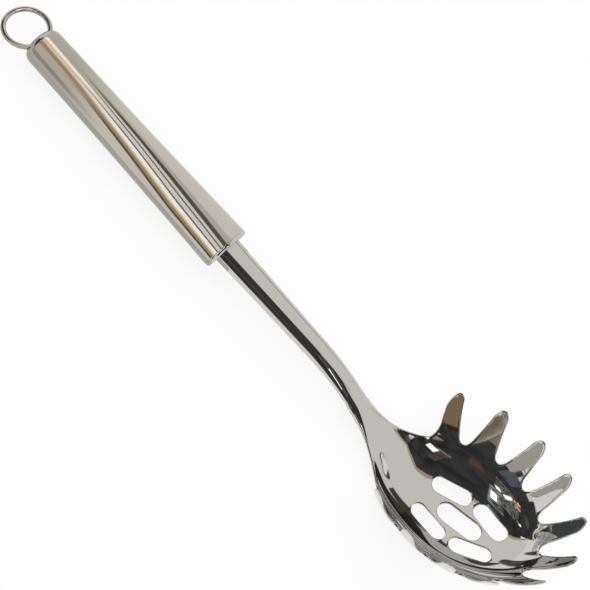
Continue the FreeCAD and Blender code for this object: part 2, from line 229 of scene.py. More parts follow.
@dataclass
class SheetBowl:
    """Pressed sheet bowl: oval dish, tines, drain slots and the neck behind."""

    sheet: float = 1.2
    depth: float = 34.6
    floor_share: float = 0.13
    dish_half: tuple[float, float] = (53.6, 42.1)
    tip_half: tuple[float, float] = (53.55, 41.9)
    root_half: tuple[float, float] = (40.2, 31.3)
    rear_half: float = 56.0
    rear_side_lift: float = 1.6
    neck_slope: float = 36.0
    neck_reach: float = 66.0
    neck_width: float = 11.4
    neck_straight: float = 16.0
    flare_angle: float = 36.0
    flare_straight: float = 12.0
    flare_root_angle: float = 138.5
    flare_root_radius: float = 5.0
    flare_root_out: float = 1.2
    tine_angles: tuple[float, ...] = (0.0, 26.9, 53.7, 76.4, 100.7, 126.6)
    tip_width: float = 6.6
    tip_round: float = 1.7
    notch_radius: float = 3.6
    middle_slot: tuple[float, float, float] = (23.5, 9.8, 3.3)
    side_slot: tuple[float, float] = (20.3, 8.2)
    side_slot_places: tuple[tuple[float, float, float], ...] = ((-7.9, 10.5, 12.0), (14.8, 9.2, -19.0))
    tip_sheet: float = 0.7
    thinning: tuple[float, float] = (0.78, 1.0)
    thin_side: tuple[float, float] = (18.0, 26.0)
    edge_round: float = 0.4
    edge_steps: int = 3
    outline_step: float = 0.42
    inner_step: float = 0.8
    edge_clearance: float = 0.55
    slope_step: float = 0.01
    rim_slope_step: float = 0.05
    closeness: float = 1e-6
    weld_gap: float = 0.002
    neck_end: float = -63.0
    neck_start_share: float = field(init=False)

    def __post_init__(self) -> None:
        """Work out where the neck starts to run straight."""
        steep = math.tan(math.radians(self.neck_slope))
        self.neck_start_share = solve(lambda s: self.dish_slope(s) / self.rear_half - steep, 0.0, 2.0)

    def dish(self, share: float) -> float:
        """Height at a share of the way from the middle to the tips."""
        return self.depth * (self.floor_share * share**2 + (1 - self.floor_share) * share**4)

    def dish_slope(self, share: float) -> float:
        """Rise of the dish for each unit of its share."""
        return self.depth * (2 * self.floor_share * share + 4 * (1 - self.floor_share) * share**3)

    def spine(self, x: float) -> float:
        """Height along the middle of the rear half, which runs straight up the neck.

        Args:
            x: Place along the bowl.

        Returns:
            Height in millimetres.
        """
        start = -self.neck_start_share * self.rear_half
        if x > start:
            return self.dish(-x / self.rear_half)
        return self.dish(self.neck_start_share) + (start - x) * math.tan(math.radians(self.neck_slope))

    def height(self, x: float, y: float) -> float:
        """Height of the inner face over a point of the plan.

        Args:
            x: Place along the bowl.
            y: Place across it.

        Returns:
            Height in millimetres.
        """
        across = abs(y) / self.dish_half[1]
        if x >= 0:
            return self.dish(math.hypot(x / self.dish_half[0], across))
        return self.spine(x) + self.dish(across) * (1 + self.rear_side_lift * (x / self.dish_half[1]) ** 2)

    def tine_share(self, x: float, y: float, first: float, last: float) -> float:
        """Eased share of the way out along the tines, which is 0 all over the dish and the neck.

        Args:
            x: Place along the bowl.
            y: Place across it.
            first: Share of the dish at which it starts.
            last: Share of the dish at which it ends.

        Returns:
            Share from 0 to 1.
        """
        out = math.hypot(x / self.dish_half[0], y / self.dish_half[1])
        share = smooth_step((out - first) / (last - first))
        if x >= 0:
            return share
        low, high = self.thin_side
        return share * smooth_step((abs(y) - low) / (high - low))

    def thickness(self, x: float, y: float) -> float:
        """Thickness of the sheet, which is ground thinner at the tips of the tines."""
        return lerp(self.sheet, self.tip_sheet, self.tine_share(x, y, *self.thinning))

    def normal(self, x: float, y: float) -> Vector:
        """Upward normal of the inner face over a point of the plan.

        Args:
            x: Place along the bowl.
            y: Place across it.

        Returns:
            The normal.
        """
        step = self.slope_step
        rise_x = (self.height(x + step, y) - self.height(x - step, y)) / (2 * step)
        rise_y = (self.height(x, y + step) - self.height(x, y - step)) / (2 * step)
        return Vector((-rise_x, -rise_y, 1.0)).normalized()

    def on_oval(self, half: tuple[float, float], angle: float) -> Vector:
        """Point of an oval round the middle of the bowl."""
        turn = math.radians(angle)
        return Vector((half[0] * math.cos(turn), half[1] * math.sin(turn)))

    def outward_at(self, angle: float) -> Vector:
        """Way out from the roots of the tines to their tips."""
        return (self.on_oval(self.tip_half, angle) - self.on_oval(self.root_half, angle)).normalized()

    def notch(self, angle: float, radius: float, out: float = 0.0) -> tuple[Vector, Vector]:
        """Bottom and centre of the round notch at an angle.

        Args:
            angle: Place round the bowl, in degrees.
            radius: Radius of the notch.
            out: How far its bottom lies outside the oval of the roots.

        Returns:
            Bottom point and centre, in plan.
        """
        outward = self.outward_at(angle)
        bottom = self.on_oval(self.root_half, angle) + outward * out
        return bottom, bottom + outward * radius

    def tip(self, angle: float) -> tuple[Vector, Vector, Vector]:
        """Front corner, point and rear corner of a tine's round tip.

        Args:
            angle: Place round the bowl, in degrees.

        Returns:
            The three points, in plan.
        """
        outward = self.outward_at(angle)
        point = self.on_oval(self.tip_half, angle)
        sideways = Vector((-outward.y, outward.x)) * (self.tip_width / 2)
        middle = point - outward * self.tip_round
        return middle - sideways, point, middle + sideways

    @staticmethod
    def touch(point: Vector, centre: Vector, radius: float, side: int) -> Vector:
        """Where a line from a point touches a circle, on one side of it.

        Args:
            point: The point.
            centre: Centre of the circle.
            radius: Its radius.
            side: 1 or -1.

        Returns:
            The point of touch, in plan.
        """
        reach = point - centre
        angle = math.atan2(reach.y, reach.x) + math.acos(radius / reach.length) * side
        return centre + Vector((math.cos(angle), math.sin(angle))) * radius

    def neck_edge(self) -> list[Vector]:
        """Four poles of the left edge, from the neck to the notch behind the last tine.

        Returns:
            The poles, in plan.
        """
        _, centre = self.notch(self.flare_root_angle, self.flare_root_radius, self.flare_root_out)
        flare = math.radians(self.flare_angle)
        end = centre + Vector((math.sin(flare), -math.cos(flare))) * self.flare_root_radius
        start = Vector((-self.neck_reach, self.neck_width / 2))
        pull = Vector((math.cos(flare), math.sin(flare))) * self.flare_straight
        return [start, start + Vector((self.neck_straight, 0.0)), end - pull, end]

    def neck_half_width(self, x: float) -> float:
        """Half the width of the neck at a place along the bowl.

        Args:
            x: Place along the bowl.

        Returns:
            Half the width.
        """
        poles = self.neck_edge()
        share = solve(lambda t: bezier_point(poles, t).x - x, 0.0, 1.0)
        return bezier_point(poles, share).y

    def left_outline(self) -> list[Vector]:
        """Points of the left edge, from the end of the neck to the point of the front tine.

        Returns:
            The points, in plan.
        """
        curve = PlanCurve(self.outline_step)
        bottom, centre = self.notch(self.flare_root_angle, self.flare_root_radius, self.flare_root_out)
        curve.bezier(self.neck_edge())
        curve.points = [point for point in curve.points if point.x > self.neck_end]
        radius = self.flare_root_radius
        into_notch = self.neck_edge()[-1]
        for index in range(len(self.tine_angles) - 1, 0, -1):
            front_corner, point, rear_corner = self.tip(self.tine_angles[index])
            out_of_notch = self.touch(rear_corner, centre, radius, -1)
            curve.arc(into_notch, bottom, out_of_notch)
            curve.line(out_of_notch, rear_corner)
            curve.arc(rear_corner, point, front_corner)
            radius = self.notch_radius
            between = (self.tine_angles[index] + self.tine_angles[index - 1]) / 2
            bottom, centre = self.notch(between, radius)
            into_notch = self.touch(front_corner, centre, radius, 1)
            curve.line(front_corner, into_notch)
        _, point, rear_corner = self.tip(self.tine_angles[0])
        out_of_notch = self.touch(rear_corner, centre, radius, -1)
        curve.arc(into_notch, bottom, out_of_notch)
        curve.line(out_of_notch, rear_corner)
        front_tip = PlanCurve(self.outline_step)
        front_tip.arc(rear_corner, point, Vector((rear_corner.x, -rear_corner.y)))
        curve.points += [p for p in front_tip.points if p.y > self.outline_step / 2]
        curve.points.append(point)
        return curve.points

    def outline(self) -> list[Vector]:
        """Points round the whole bowl, with the sheet on the right of the way along them.

        Returns:
            The points, in plan.
        """
        left = self.left_outline()
        right = [Vector((point.x, -point.y)) for point in reversed(left[:-1])]
        neck = PlanCurve(self.outline_step)
        neck.line(right[-1], left[0])
        return left + right + neck.points[1:]

    def slots(self) -> list[list[Vector]]:
        """Points round each drain slot, with the sheet on the right of the way along them.

        Returns:
            One list of plan points for each slot.
        """
        length, width, middle_x = self.middle_slot
        places = [(middle_x, 0.0, 0.0, length, width)]
        for x, y, turn in self.side_slot_places:
            places.append((x, y, turn, *self.side_slot))
            places.append((x, -y, -turn, *self.side_slot))
        found = []
        for x, y, turn, length, width in places:
            along = Vector((math.cos(math.radians(turn)), math.sin(math.radians(turn))))
            side = Vector((-along.y, along.x)) * (width / 2)
            centre = Vector((x, y))
            reach = along * ((length - width) / 2)
            end = along * (width / 2)
            curve = PlanCurve(self.outline_step)
            curve.line(centre + reach + side, centre - reach + side)
            curve.arc(centre - reach + side, centre - reach - end, centre - reach - side)
            curve.line(centre - reach - side, centre + reach - side)
            curve.arc(centre + reach - side, centre + reach + end, centre + reach + side)
            found.append(curve.points)
        return found

    def edge_ways(self, loop: Sequence[Vector]) -> list[Vector]:
        """Way out of the sheet at each point of a loop that has the sheet on its right.

        Args:
            loop: Plan points.

        Returns:
            One way for each point.
        """
        ways = []
        for index, _ in enumerate(loop):
            along = loop[(index + 1) % len(loop)] - loop[index - 1]
            ways.append(Vector((-along.y, along.x)).normalized())
        return ways

    def rim_points(self, loop: Sequence[Vector]) -> list[RimPoint]:
        """Points of the inner face's edge, set back from a loop by the round of the edge.

        Args:
            loop: Plan points with the sheet on the right of the way along them.

        Returns:
            One rim point for each point of the loop.
        """
        found = []
        step = self.rim_slope_step
        for point, way in zip(loop, self.edge_ways(loop)):
            rise = (self.height(*(point + way * step)) - self.height(*(point - way * step))) / (2 * step)
            back = point - way * (self.edge_round / math.hypot(1.0, rise))
            base = Vector((back.x, back.y, self.height(*back)))
            upward = self.normal(*back)
            outward = Vector((way.x, way.y, 0.0))
            outward = (outward - upward * outward.dot(upward)).normalized()
            found.append(RimPoint(base, outward, upward, self.thickness(*back)))
        return found

    @staticmethod
    def inside(points: np.ndarray, loop: np.ndarray) -> np.ndarray:
        """Which plan points lie inside a loop, by counting crossings.

        Args:
            points: Plan points, one in each row.
            loop: Corners of the loop, one in each row.

        Returns:
            True for each point inside.
        """
        found = np.zeros(len(points), bool)
        for (x0, y0), (x1, y1) in zip(loop, np.roll(loop, -1, axis=0)):
            if y0 == y1:
                continue
            level = (points[:, 1] < y0) != (points[:, 1] < y1)
            found ^= level & (points[:, 0] < x0 + (points[:, 1] - y0) * (x1 - x0) / (y1 - y0))
        return found

    def on_sheet(self, points: np.ndarray, loops: Sequence[np.ndarray]) -> np.ndarray:
        """Which plan points lie inside the outline and outside every slot.

        Args:
            points: Plan points, one in each row.
            loops: The outline of the inner face, then its slots.

        Returns:
            True for each point on the sheet.
        """
        kept = self.inside(points, loops[0])
        for loop in loops[1:]:
            kept &= ~self.inside(points, loop)
        return kept

    def inner_points(self, loops: Sequence[np.ndarray]) -> list[Vector]:
        """Plan points all over the sheet, in staggered rows clear of its edges.

        Args:
            loops: The outline of the inner face, then its slots.

        Returns:
            Plan points.
        """
        rows = []
        # Rows of triangles with equal sides.
        row_step = self.inner_step * math.sqrt(0.75)
        row_count = math.ceil(self.tip_half[1] / row_step)
        first = math.floor(self.neck_end / self.inner_step)
        last = math.ceil(self.tip_half[0] / self.inner_step)
        for row in range(-row_count, row_count + 1):
            lean = 0.5 * (row % 2)
            for column in range(first, last + 1):
                rows.append(((column + lean) * self.inner_step, row * row_step))
        points = np.array(rows)
        kept = self.on_sheet(points, loops)
        edge = kdtree.KDTree(sum(len(loop) for loop in loops))
        for index, corner in enumerate(np.vstack(loops)):
            edge.insert((*corner, 0.0), index)
        edge.balance()
        clear = self.inner_step * self.edge_clearance
        return [Vector(p) for p in points[kept] if edge.find((*p, 0.0))[2] > clear]

    def rim_rows(self) -> list[tuple[float, float, float]]:
        """Steps over the rounded edge, from the inner face to the outer one.

        Returns:
            Way out, way down and share of the sheet's thickness further down, for each step.
        """
        size = self.edge_round
        rows = [(size * sine, size * (1 - cosine), 0.0) for sine, cosine in quarter_turn(self.edge_steps)[1:]]
        return rows + [(out, -down, 1.0) for out, down, _ in reversed(rows)] + [(0.0, 0.0, 1.0)]

    def lay_inner_face(self, bm: bmesh.types.BMesh) -> dict[bmesh.types.BMVert, RimPoint]:
        """Fill the inner face with triangles.

        Args:
            bm: Mesh that takes the face.

        Returns:
            The rim point of each vertex on an edge of the face.
        """
        rims = [self.rim_points(loop) for loop in [self.outline(), *self.slots()]]
        loops = [np.array([point.base.to_2d() for point in rim]) for rim in rims]
        inner = self.inner_points(loops)
        rim_list = [point for rim in rims for point in rim]
        corners = [point.base.to_2d() for point in rim_list]
        edges = []
        start = 0
        for rim in rims:
            edges += [(start + index, start + (index + 1) % len(rim)) for index in range(len(rim))]
            start += len(rim)
        places, _, triangles, _, _, _ = delaunay_2d_cdt(corners + inner, edges, [], 1, self.closeness)
        middles = np.array([[sum(places[i][axis] for i in tri) / 3 for axis in (0, 1)] for tri in triangles])
        kept = self.on_sheet(middles, loops)
        verts = [bm.verts.new((p.x, p.y, self.height(p.x, p.y))) for p in places]
        for triangle, keep in zip(triangles, kept):
            if keep:
                bm.faces.new([verts[index] for index in triangle])
        bmesh.ops.delete(bm, geom=[v for v in bm.verts if not v.link_faces], context="VERTS")
        return {verts[index]: point for index, point in enumerate(rim_list) if verts[index].is_valid}

    def build(self) -> bpy.types.Object:
        """Model the bowl as a closed sheet with rounded edges.

        Returns:
            The bowl, in place.
        """
        bm = bmesh.new()
        marks = self.lay_inner_face(bm)
        inner_faces = list(bm.faces)
        edges = [edge for edge in bm.edges if edge.is_boundary]
        for out, down, through in self.rim_rows():
            edges, marks = draw_on(bm, edges, marks)
            for vert, point in marks.items():
                depth = down + through * point.thickness
                vert.co = point.base + point.outward * out - point.upward * depth
        copied = bmesh.ops.duplicate(bm, geom=inner_faces)["geom"]
        for vert in of_kind(bmesh.types.BMVert, copied):
            x, y = vert.co.to_2d()
            vert.co -= self.normal(x, y) * self.thickness(x, y)
        bmesh.ops.reverse_faces(bm, faces=of_kind(bmesh.types.BMFace, copied))
        bmesh.ops.remove_doubles(bm, verts=bm.verts, dist=self.weld_gap)
        return to_object(bm, "bowl_sheet", LAY.bowl())

    def dress(self) -> list[bpy.types.Object]:
        """Model the bowl and polish it."""
        return [stand_for("bowl", SERVER, self.build(), POLISHED)]


@dataclass(frozen=True)
class BarSection:
    """Section of the stem, square to its middle line."""

    middle: Vector
    up: Vector
    half_width: float
    half_thickness: float
    hollow: float
    bowl: SheetBowl

    def at(self, across: float, rise: float) -> Vector:
        """Point of the section.

        Args:
            across: Share of the half width.
            rise: Share of the half thickness.

        Returns:
            The point in the bowl's frame.
        """
        y = across * self.half_width
        dip = self.bowl.height(self.middle.x, y) - self.bowl.height(self.middle.x, 0.0)
        lift = rise * self.half_thickness + self.hollow * dip * self.up.z
        return self.middle + Vector((0.0, y, 0.0)) + self.up * lift


@dataclass(frozen=True)
class NeckSection:
    """Section of the neck, which follows the bowl's inner face."""

    x: float
    half_width: float
    top: float
    half_thickness: float
    bowl: SheetBowl

    def at(self, across: float, rise: float) -> Vector:
        """Point of the section.

        Args:
            across: Share of the half width.
            rise: Share of the half thickness.

        Returns:
            The point in the bowl's frame.
        """
        y = across * self.half_width
        face = Vector((self.x, y, self.bowl.height(self.x, y)))
        return face + self.bowl.normal(self.x, y) * (self.top + (rise - 1.0) * self.half_thickness)


@dataclass
class OvalStem:
    """Oval bar that tapers from the cap, bends down and flattens into the neck of the bowl."""

    bowl: SheetBowl
    rear_width: float = 14.5
    rear_thickness: float = 10.4
    bend_width: float = 11.8
    bend_thickness: float = 8.6
    joint_thickness: float = 5.2
    joint_top: float = 1.3
    hidden_length: float = 4.0
    cap_proud: float = 1.9
    blend_end: float = -38.0
    feather_start: float = -46.0
    cover: float = 0.04
    rounds: int = 96
    taper_steps: int = 12
    bend_steps: int = 24
    neck_steps: int = 40
    flatness: float = 1.25
    round_ratio: float = 1.37
    sharp_angle: float = 60.0

    def bend(self) -> tuple[Vector, Vector, float, float]:
        """Start, centre, radius and turn of the bend.

        Returns:
            Start and centre in the bowl's frame, radius in millimetres and turn in degrees.
        """
        turn = self.bowl.neck_slope - LAY.handle_angle
        face = Vector((-self.bowl.neck_reach, 0.0, self.bowl.spine(-self.bowl.neck_reach)))
        joint = face + self.up_at(self.bowl.neck_slope) * (self.joint_top - self.joint_thickness / 2)
        up = self.up_at(LAY.handle_angle)
        up_neck = -self.forward_at(self.bowl.neck_slope)
        leg = (LAY.axis_point(0.0) - joint).dot(up) / up_neck.dot(up)
        start = joint + up_neck * leg - self.forward_at(LAY.handle_angle) * leg
        radius = leg / math.tan(math.radians(turn / 2))
        return start, start - up * radius, radius, turn

    @staticmethod
    def up_at(angle: float) -> Vector:
        """Way up from a bar that slopes down by an angle."""
        return Vector((math.sin(math.radians(angle)), 0.0, math.cos(math.radians(angle))))

    @staticmethod
    def forward_at(angle: float) -> Vector:
        """Way forward along a bar that slopes down by an angle."""
        return Vector((math.cos(math.radians(angle)), 0.0, -math.sin(math.radians(angle))))

    def bar_sections(self) -> list[BarSection]:
        """Sections from inside the cap to the end of the bend.

        Returns:
            The sections in order.
        """
        start, centre, radius, turn = self.bend()
        rear = LAY.axis_point(LAY.seam_reach + self.hidden_length)
        taper = LAY.axis_point(LAY.seam_reach - self.cap_proud)
        up = self.up_at(LAY.handle_angle)
        found = [BarSection(rear, up, self.rear_width / 2, self.rear_thickness / 2, 0.0, self.bowl)]
        for step in range(self.taper_steps):
            share = step / self.taper_steps
            width = lerp(self.rear_width, self.bend_width, share) / 2
            thickness = lerp(self.rear_thickness, self.bend_thickness, share) / 2
            found.append(BarSection(taper.lerp(start, share), up, width, thickness, 0.0, self.bowl))
        for step in range(self.bend_steps):
            share = step / self.bend_steps
            ease = smooth_step(share)
            outward = self.up_at(LAY.handle_angle + turn * share)
            width = lerp(self.bend_width, self.bowl.neck_width, ease) / 2
            thickness = lerp(self.bend_thickness, self.joint_thickness, ease) / 2
            found.append(BarSection(centre + outward * radius, outward, width, thickness, ease, self.bowl))
        return found

    def neck_sections(self) -> list[NeckSection]:
        """Sections from the end of the bend to where the neck's own thickness runs out into the sheet.

        Returns:
            The sections in order.
        """
        found = []
        for step in range(self.neck_steps + 1):
            share = step / self.neck_steps
            x = lerp(-self.bowl.neck_reach, self.blend_end, share)
            fade = smooth_step((x + self.bowl.neck_reach) / (self.feather_start + self.bowl.neck_reach))
            feather = max(0.0, (x - self.feather_start) / (self.blend_end - self.feather_start))
            cover = self.cover * (1.0 - 2.0 * feather)
            top = lerp(self.joint_top, cover, fade)
            thickness = lerp(self.joint_thickness, self.bowl.sheet + 2 * cover, fade)
            width = self.bowl.neck_half_width(x) + cover
            found.append(NeckSection(x, width, top, thickness / 2, self.bowl))
        return found

    def section_point(self, index: int, section: BarSection | NeckSection) -> Vector:
        """Point of a section.

        Args:
            index: Number of the point round the section, from its left edge over the top.
            section: The section.

        Returns:
            The point in the bowl's frame.
        """
        half = self.rounds // 2
        over_top = index <= half
        turn = 1.0 - 2.0 * index / half if over_top else 2.0 * (index - half) / half - 1.0
        across = math.sin(turn * math.pi / 2)
        ratio = section.half_width / section.half_thickness
        power = 2.0 + self.flatness * max(0.0, ratio - self.round_ratio)
        rise = math.sqrt(max(0.0, 1.0 - abs(across) ** power))
        return section.at(across, rise if over_top else -rise)

    def build(self) -> bpy.types.Object:
        """Model the stem by drawing a ring of edges along it.

        Returns:
            The stem, in place.
        """
        bm = bmesh.new()
        ring = bmesh.ops.create_circle(bm, cap_ends=False, segments=self.rounds, radius=1.0)["verts"]
        marks = {vert: index for index, vert in enumerate(ring)}
        edges = list(bm.edges)
        for step, section in enumerate([*self.bar_sections(), *self.neck_sections()]):
            if step:
                edges, marks = draw_on(bm, edges, marks)
            for vert, index in marks.items():
                vert.co = self.section_point(index, section)
        bmesh.ops.holes_fill(bm, edges=[edge for edge in bm.edges if edge.is_boundary], sides=0)
        bmesh.ops.recalc_face_normals(bm, faces=bm.faces)
        return to_object(bm, "stem_bar", LAY.bowl(), self.sharp_angle)

    def dress(self) -> list[bpy.types.Object]:
        """Model the stem and polish it."""
        return [stand_for("stem", SERVER, self.build(), POLISHED)]


@dataclass
class HangingRing:
    """Wire ring with a butt seam, hung in two holes of the handle."""

    outer_diameter: float = 23.198
    wire: float = 2.4
    seam_gap: float = 0.2
    seam_angle: float = 109.0
    droop: float = 12.0
    side_shift: float = 1.0
    wall: float = 0.7
    wall_gap: float = 0.5
    axis_gap: float = 0.8
    wire_rounds: int = 32
    ring_steps: int = 160

    @property
    def radius(self) -> float:
        """Radius of the wire's middle line."""
        return (self.outer_diameter - self.wire) / 2

    def hung(self, swing: float) -> Matrix:
        """Frame of the ring's middle, swung about its axis in the handle.

        Args:
            swing: Angle above the handle's axis, in degrees.

        Returns:
            The frame in the rolled handle's frame.
        """
        axis = Vector((self.wall + self.axis_gap, 0.0, 0.0))
        reach = self.wall + self.wall_gap + self.wire - self.outer_diameter / 2
        centre = Vector((reach, self.side_shift, 0.0))
        turn = Matrix.Rotation(math.radians(swing), 4, "Y")
        return Matrix.Translation(axis) @ turn @ Matrix.Translation(centre - axis)

    def sweep(
        self, bm: bmesh.types.BMesh, wire_radius: float, start: float, turn: float, steps: int
    ) -> list[bmesh.types.BMVert]:
        """Sweep a round section about the ring's middle.

        Args:
            bm: Mesh that takes the stretch of wire.
            wire_radius: Radius of the section.
            start: Angle at which it starts, in degrees.
            turn: Angle that it sweeps, in degrees.
            steps: Sections along it.

        Returns:
            The new vertices.
        """
        known = set(bm.verts)
        place = Matrix.Rotation(math.radians(start), 4, "Z") @ Matrix.Translation((self.radius, 0.0, 0.0))
        lying = place @ Matrix.Rotation(math.pi / 2, 4, "X")
        made = bmesh.ops.create_circle(
            bm, cap_ends=True, segments=self.wire_rounds, radius=wire_radius, matrix=lying
        )["verts"]
        edges = dict.fromkeys(edge for vert in made for edge in vert.link_edges)
        faces = dict.fromkeys(face for vert in made for face in vert.link_faces)
        bmesh.ops.spin(
            bm, geom=[*made, *edges, *faces], cent=(0, 0, 0), axis=(0, 0, 1), angle=math.radians(turn),
            steps=steps, use_merge=False
        )
        return [vert for vert in bm.verts if vert not in known]

    def build(self) -> bpy.types.Object:
        """Model the ring, drooping from its holes.

        Returns:
            The ring, in place.
        """
        bm = bmesh.new()
        gap = math.degrees(self.seam_gap / self.radius)
        self.sweep(bm, self.wire / 2, self.seam_angle + gap / 2, 360.0 - gap, self.ring_steps)
        bmesh.ops.recalc_face_normals(bm, faces=bm.faces)
        return to_object(bm, "ring_wire", LAY.rolled_handle() @ self.hung(-self.droop))

    def dress(self) -> list[bpy.types.Object]:
        """Model the ring, polish it and let it swing."""
        return [stand_for("hanging_ring", RING, self.build(), POLISHED)]


@dataclass
class HollowHandle:
    """Drawn handle shell, closed at the rear, with two holes for the ring and a polished cap in front."""

    ring: HangingRing
    length: float = LAY.handle_length
    rear_radius: float = 9.3
    middle_radius: float = 10.15
    front_radius: float = 11.65
    wall: float = HangingRing.wall
    shoulder: float = 4.8
    lip: float = 0.25
    cap_proud: float = OvalStem.cap_proud
    cap_edge: float = 1.3
    cap_step: float = 0.15
    cap_plug: float = 3.0
    hole_clearance: float = 0.32
    hole_start: float = 8.0
    hole_end: float = 60.0
    swing: float = 55.0
    swing_steps: int = 4
    rounds: int = 160
    shoulder_steps: int = 12
    flank_steps: int = 40
    cutter_steps: int = 10
    cap_steps: int = 8
    weld_gap: float = 1e-4
    shell_sharp: float = 35.0
    cap_sharp: float = 50.0

    def flank(self, x: float) -> float:
        """Radius of the flank, through its rear, middle and front radii.

        Args:
            x: Place along the handle.

        Returns:
            The radius.
        """
        share = (x - self.shoulder) / (self.length - self.shoulder)
        bend = 2 * (self.rear_radius + self.front_radius - 2 * self.middle_radius)
        straight = self.front_radius - self.rear_radius - bend
        return self.rear_radius + straight * share + bend * share**2

    def skin(self, inset: float) -> list[tuple[float, float]]:
        """Profile of the skin at an inset, from the middle of the rear end to the mouth.

        Args:
            inset: Distance inside the outer skin.

        Returns:
            Places along the axis and radii.
        """
        flat = self.rear_radius - self.shoulder
        profile = [(inset, 0.0), (inset, flat / 2)]
        reach = self.shoulder - inset
        for sine, cosine in quarter_turn(self.shoulder_steps):
            profile.append((self.shoulder - cosine * reach, flat + sine * reach))
        for step in range(1, self.flank_steps + 1):
            x = lerp(self.shoulder, self.length, step / self.flank_steps)
            profile.append((x, self.flank(x) - inset))
        return profile

    def spin_profile(self, profile: Iterable[tuple[float, float]]) -> bmesh.types.BMesh:
        """Turn a profile about the handle's axis.

        Args:
            profile: Places along the axis and radii.

        Returns:
            The mesh in the handle's frame.
        """
        bm = bmesh.new()
        chain = [bm.verts.new((x, radius, 0.0)) for x, radius in profile]
        edges = [bm.edges.new(pair) for pair in zip(chain[:-1], chain[1:])]
        bmesh.ops.spin(
            bm, geom=chain + edges, cent=(0, 0, 0), axis=(1, 0, 0), angle=2 * math.pi, steps=self.rounds,
            use_merge=True
        )
        bmesh.ops.remove_doubles(bm, verts=bm.verts, dist=self.weld_gap)
        bmesh.ops.recalc_face_normals(bm, faces=bm.faces)
        return bm

    def hole_cutter(self) -> bpy.types.Object:
        """Swept stretches of wire that open the two holes.

        Returns:
            The cutter, in the frame of the rolled handle.
        """
        bm = bmesh.new()
        radius = self.ring.wire / 2 + self.hole_clearance
        span = self.hole_end - self.hole_start
        for start in (self.hole_start, -self.hole_end):
            for step in range(self.swing_steps + 1):
                swing = self.swing * (2 * step / self.swing_steps - 1)
                made = self.ring.sweep(bm, radius, start, span, self.cutter_steps)
                bmesh.ops.transform(bm, matrix=self.ring.hung(swing), verts=made)
        bmesh.ops.recalc_face_normals(bm, faces=bm.faces)
        return to_object(bm, "hole_cutter")

    def build_shell(self) -> bpy.types.Object:
        """Model the shell and cut its holes.

        Returns:
            The shell, in place.
        """
        outside = self.skin(0.0)
        inside = self.skin(self.wall)
        x, radius = outside[-1]
        lip = [(x - self.lip, self.flank(x - self.lip)), (x, radius - self.lip)]
        bm = self.spin_profile(outside[:-1] + lip + inside[::-1])
        shell = to_object(bm, "handle_skin")
        cutter = self.hole_cutter()
        cut = shell.modifiers.new("ring_holes", "BOOLEAN")
        cut.object = cutter
        cut.solver = "EXACT"
        cut.use_self = True
        depsgraph = bpy.context.evaluated_depsgraph_get()
        shell.data = bpy.data.meshes.new_from_object(shell.evaluated_get(depsgraph))
        shell.modifiers.clear()
        bpy.data.objects.remove(cutter)
        wrap_round_x(shell.data, self.length)
        shell.data.transform(LAY.rolled_handle())
        shell.data.set_sharp_from_angle(angle=math.radians(self.shell_sharp))
        return shell

    def build_cap(self) -> bpy.types.Object:
        """Model the polished cap that closes the front of the shell.

        Returns:
            The cap, in place.
        """
        rim = self.front_radius - self.cap_step
        plug = self.front_radius - self.wall - self.cap_step
        face = self.length + self.cap_proud
        back = self.length - self.cap_plug
        profile = [(back, 0.0), (back, plug), (self.length, plug)]
        profile += [(self.length, rim - self.cap_step), (self.length + self.cap_step, rim)]
        edge = self.cap_edge
        for sine, cosine in quarter_turn(self.cap_steps):
            profile.append((face - edge + sine * edge, rim - edge + cosine * edge))
        profile.append((face, 0.0))
        return to_object(self.spin_profile(profile), "cap_disc", LAY.handle(), self.cap_sharp)

    def dress(self) -> list[bpy.types.Object]:
        """Model the cap and polish it, then the shell and brush it.

        Returns:
            Both pieces.
        """
        cap = stand_for("front_cap", SERVER, self.build_cap(), POLISHED)
        shell = stand_for("handle_shell", SERVER, self.build_shell(), SATIN)
        return [cap, shell]


def of_kind(kind: type, geom: Iterable[object]) -> list[Any]:
    """Items of one kind among those that a mesh operator gives back."""
    return [item for item in geom if isinstance(item, kind)]


def draw_on(
    bm: bmesh.types.BMesh, edges: Sequence[bmesh.types.BMEdge], marks: Mapping[bmesh.types.BMVert, Any]
) -> tuple[list[bmesh.types.BMEdge], dict[bmesh.types.BMVert, Any]]:
    """Draw closed rows of edges out into new rows, which lie on the old ones until they are moved.

    Args:
        bm: The mesh.
        edges: Edges of the rows.
        marks: What is known of each vertex of the rows.

    Returns:
        The new edges, and for each new vertex what is known of the one that it came from.
    """
    made = bmesh.ops.extrude_edge_only(bm, edges=edges)["geom"]
    drawn = {}
    for vert in of_kind(bmesh.types.BMVert, made):
        source = next(e.other_vert(vert) for e in vert.link_edges if e.other_vert(vert) in marks)
        drawn[vert] = marks[source]
    rows = of_kind(bmesh.types.BMEdge, made)
    return [edge for edge in rows if all(vert in drawn for vert in edge.verts)], drawn


def to_object(
    bm: bmesh.types.BMesh, name: str, lay: Matrix | None = None, sharp: float | None = None
) -> bpy.types.Object:
    """Turn a mesh under work into a smooth-shaded object of the scene.

    Args:
        bm: The mesh, which is freed.
        name: Name of the object and its mesh.
        lay: Frame that the mesh is in, or None where it is in place already.
        sharp: Angle in degrees past which an edge stays sharp, or None.

    Returns:
        The object, at the origin.
    """
    if lay is not None:
        bmesh.ops.transform(bm, matrix=lay, verts=bm.verts)
    mesh = bpy.data.meshes.new(name)
    for face in bm.faces:
        face.smooth = True
    bm.to_mesh(mesh)
    bm.free()
    if sharp is not None:
        mesh.set_sharp_from_angle(angle=math.radians(sharp))
    piece = bpy.data.objects.new(name, mesh)
    bpy.context.scene.collection.objects.link(piece)
    return piece


